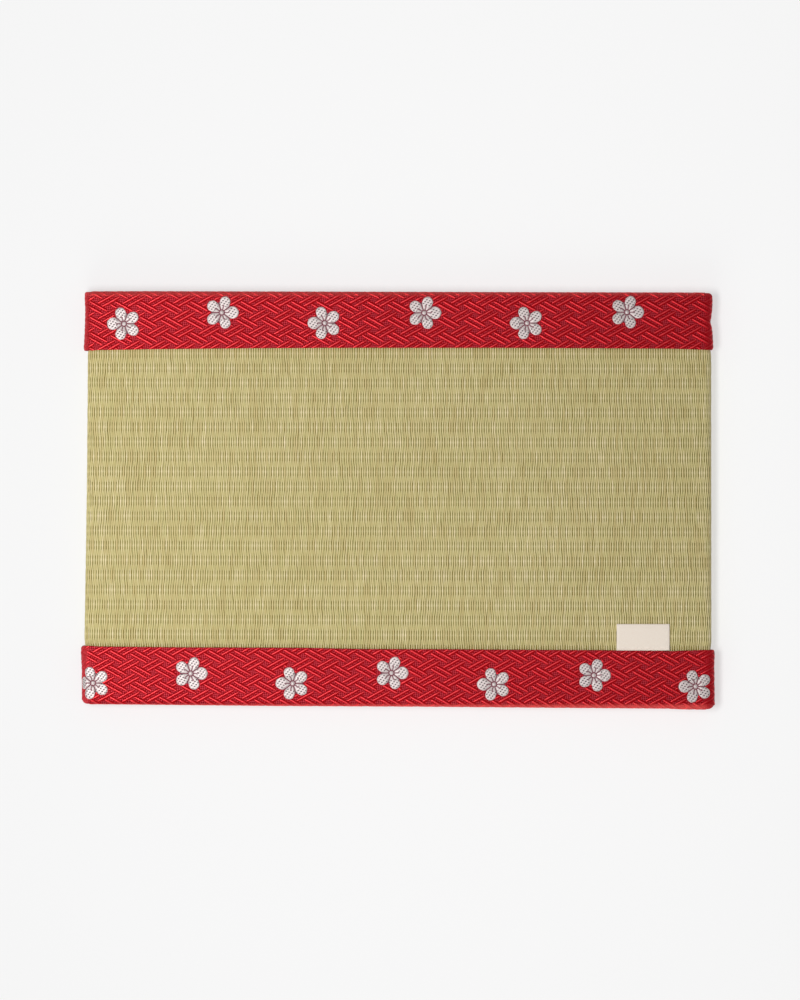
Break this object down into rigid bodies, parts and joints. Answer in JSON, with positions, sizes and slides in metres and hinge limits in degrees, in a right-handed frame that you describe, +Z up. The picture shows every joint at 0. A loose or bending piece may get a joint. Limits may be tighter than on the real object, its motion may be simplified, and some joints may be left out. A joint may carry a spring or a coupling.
{
  "type": "tatami mat",
  "caption": "Small flat mat faced all round with woven rush, its long edges bound in plum-blossom brocade, with a bare tape tab at the front seam.",
  "frame": {"origin": "middle of the outline's bounding box, on the surface that the mat lies on", "axes": "+X to the right along the bound long edges, +Y from the front binding, which holds the tab, to the back binding, +Z up out of the mat's face"},
  "size_m": [0.3021, 0.1993, 0.013],
  "materials": {
    "rush": "woven dried rush with a soft sheen",
    "brocade": "red figured brocade with raised lines and pale plum blossoms",
    "tape": "plain cream woven tape"
  },
  "bodies": {
    "root": {"rush_facing": "rush", "binding_back": "brocade", "binding_front": "brocade", "tape_tab": "tape"}
  },
  "joints": []
}
